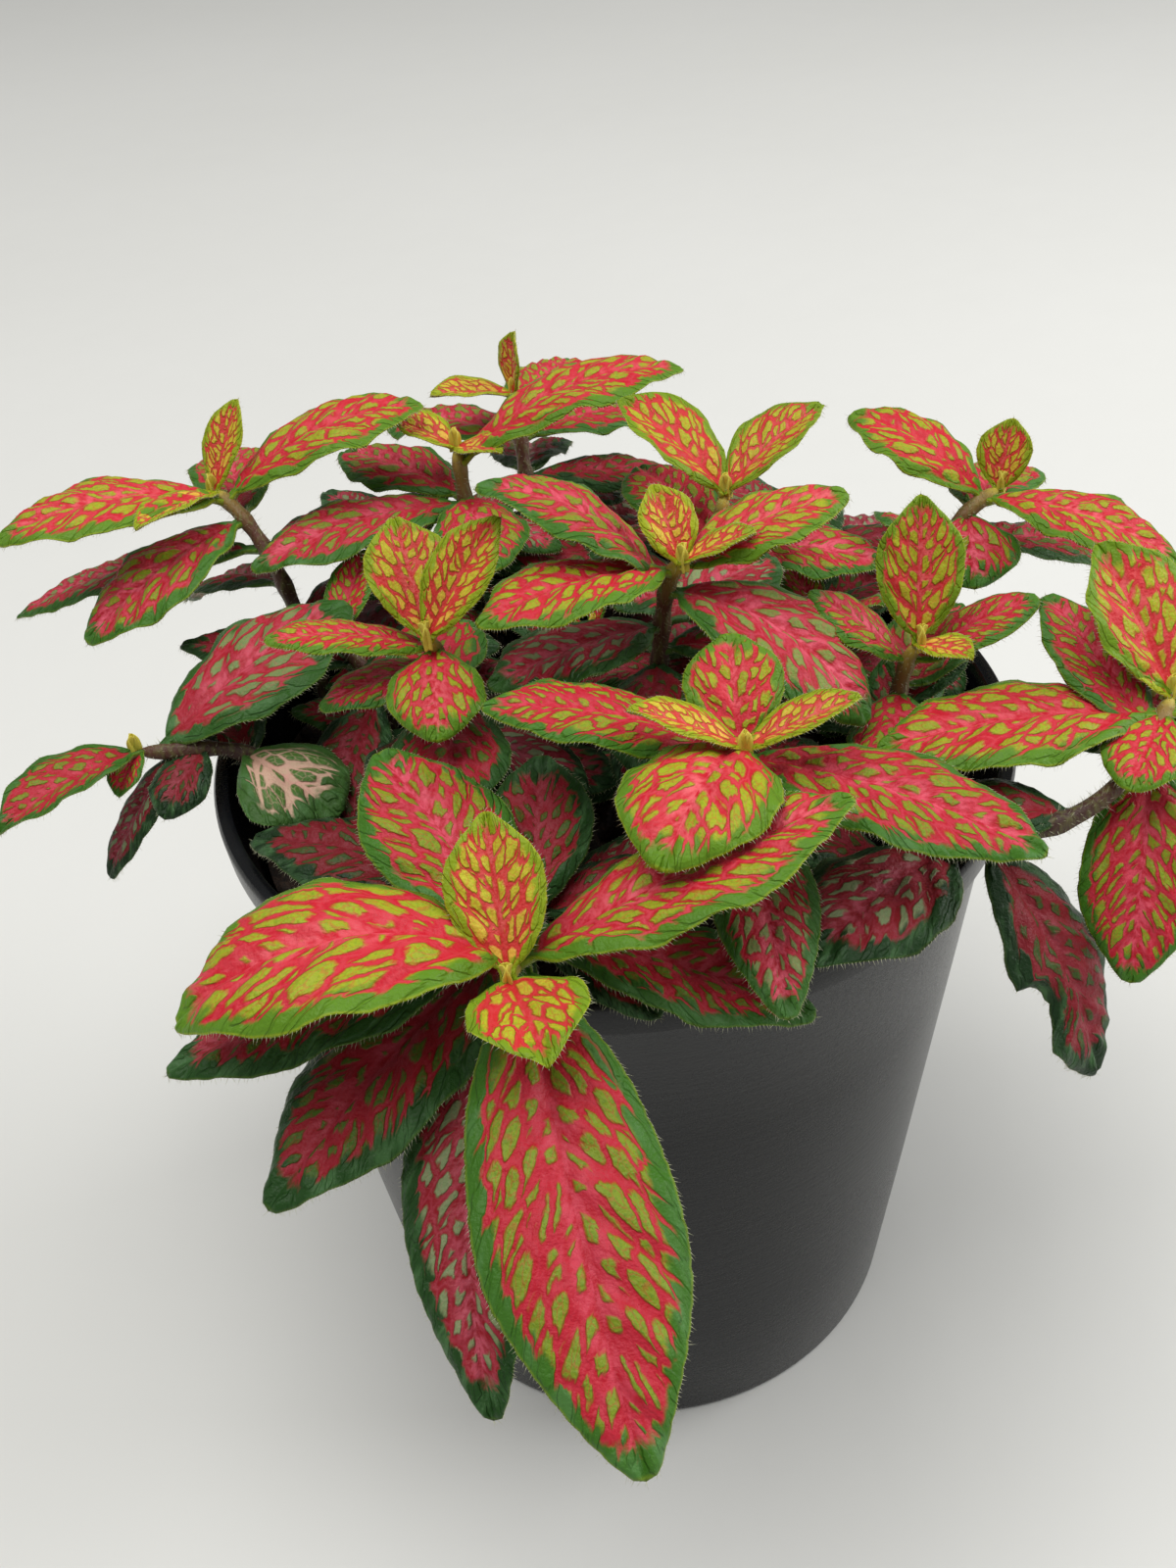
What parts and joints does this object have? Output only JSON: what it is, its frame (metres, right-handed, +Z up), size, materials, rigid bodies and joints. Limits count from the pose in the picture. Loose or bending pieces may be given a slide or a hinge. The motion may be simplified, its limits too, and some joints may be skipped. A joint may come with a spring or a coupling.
{
  "type": "potted nerve plant",
  "caption": "Nerve plant with pink-veined green leaves on low spreading shoots, in a plain dark round pot.",
  "frame": {"origin": "centre of the pot's flat base, on the surface that it stands on", "axes": "+Z up along the pot's axis; -Y towards the front rosette that hangs over the rim"},
  "size_m": [0.1835, 0.1874, 0.1485],
  "materials": {
    "pot": "satin charcoal black",
    "soil": "rough crumbly dark peat",
    "leaves": "satin, finely puckered and hairy leaf; crimson-pink veins on lime to dark green"
  },
  "bodies": {
    "root": {"pot": "pot", "soil": "soil", "shoot_front": "leaves", "shoot_front_right": "leaves", "shoot_middle": "leaves", "shoot_left_middle": "leaves", "shoot_right": "leaves", "shoot_far_right": "leaves", "shoot_right_back": "leaves", "shoot_back_right": "leaves", "shoot_left_back": "leaves", "shoot_back_left": "leaves", "shoot_back": "leaves", "shoot_low_left": "leaves", "shoot_rear_right": "leaves", "shoot_rear_middle": "leaves", "shoot_rear_left": "leaves", "shoot_side_left": "leaves", "shoot_inner_back": "leaves", "shoot_inner_right": "leaves"}
  },
  "joints": []
}
